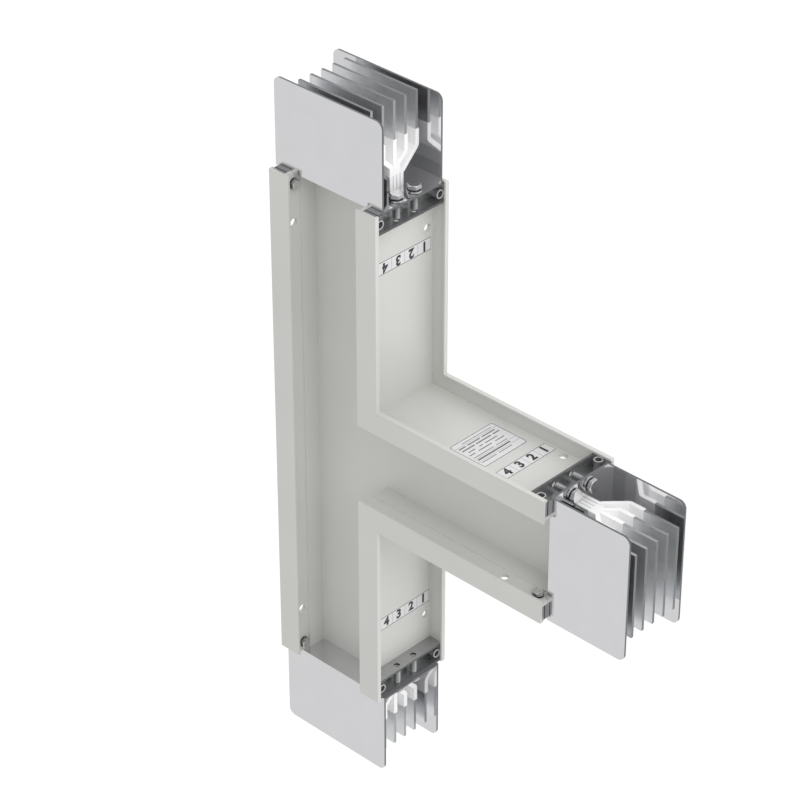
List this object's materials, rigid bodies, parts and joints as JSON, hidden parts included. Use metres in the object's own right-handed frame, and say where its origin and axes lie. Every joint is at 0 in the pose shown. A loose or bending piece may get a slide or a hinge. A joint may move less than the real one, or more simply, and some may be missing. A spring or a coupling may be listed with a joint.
{
  "type": "busway tee section",
  "caption": "T-shaped compact busway section: painted sheet housing with recessed covers and fanned flat conductors between plates at each open end.",
  "frame": {"origin": "centre of the bounding box on the resting plane of the rear flanges", "axes": "+Y along the run, +X along the branch towards its open end, +Z from the rear cover to the front cover"},
  "size_m": [0.577, 0.974, 0.128],
  "materials": {
    "housing_paint": "semi-gloss warm light grey powder coat",
    "bare_bar": "tinned flat bar, bright",
    "bar_insulation": "white wrapped film",
    "joint_plate": "polished plate",
    "end_bracket": "dark polished plate",
    "bolt_steel": "bright zinc-plated bolts and washers"
  },
  "bodies": {
    "root": {"side_frame_left": "housing_paint", "side_frame_upper": "housing_paint", "side_frame_lower": "housing_paint", "front_cover": "housing_paint", "rear_cover": "housing_paint", "earth_bar": "bare_bar", "conductor_1": "bare_bar", "insulation_1": "bar_insulation", "conductor_2": "bare_bar", "insulation_2": "bar_insulation", "conductor_3": "bare_bar", "insulation_3": "bar_insulation", "conductor_4": "bare_bar", "insulation_4": "bar_insulation", "joint_plate_branch_front": "joint_plate", "joint_plate_branch_rear": "joint_plate", "end_bracket_branch_left": "end_bracket", "end_bracket_branch_right": "end_bracket", "end_bolts_branch": "bolt_steel", "end_washers_branch": "bolt_steel", "side_bolts_branch": "bolt_steel", "side_washers_branch": "bolt_steel", "spacers_branch": "end_bracket", "joint_plate_top_front": "joint_plate", "joint_plate_top_rear": "joint_plate", "end_bracket_top_left": "end_bracket", "end_bracket_top_right": "end_bracket", "end_bolts_top": "bolt_steel", "end_washers_top": "bolt_steel", "side_bolts_top": "bolt_steel", "side_washers_top": "bolt_steel", "spacers_top": "end_bracket", "joint_plate_bottom_front": "joint_plate", "joint_plate_bottom_rear": "joint_plate", "end_bracket_bottom_left": "end_bracket", "end_bracket_bottom_right": "end_bracket", "end_bolts_bottom": "bolt_steel", "end_washers_bottom": "bolt_steel", "side_bolts_bottom": "bolt_steel", "side_washers_bottom": "bolt_steel", "spacers_bottom": "end_bracket"}
  },
  "joints": []
}
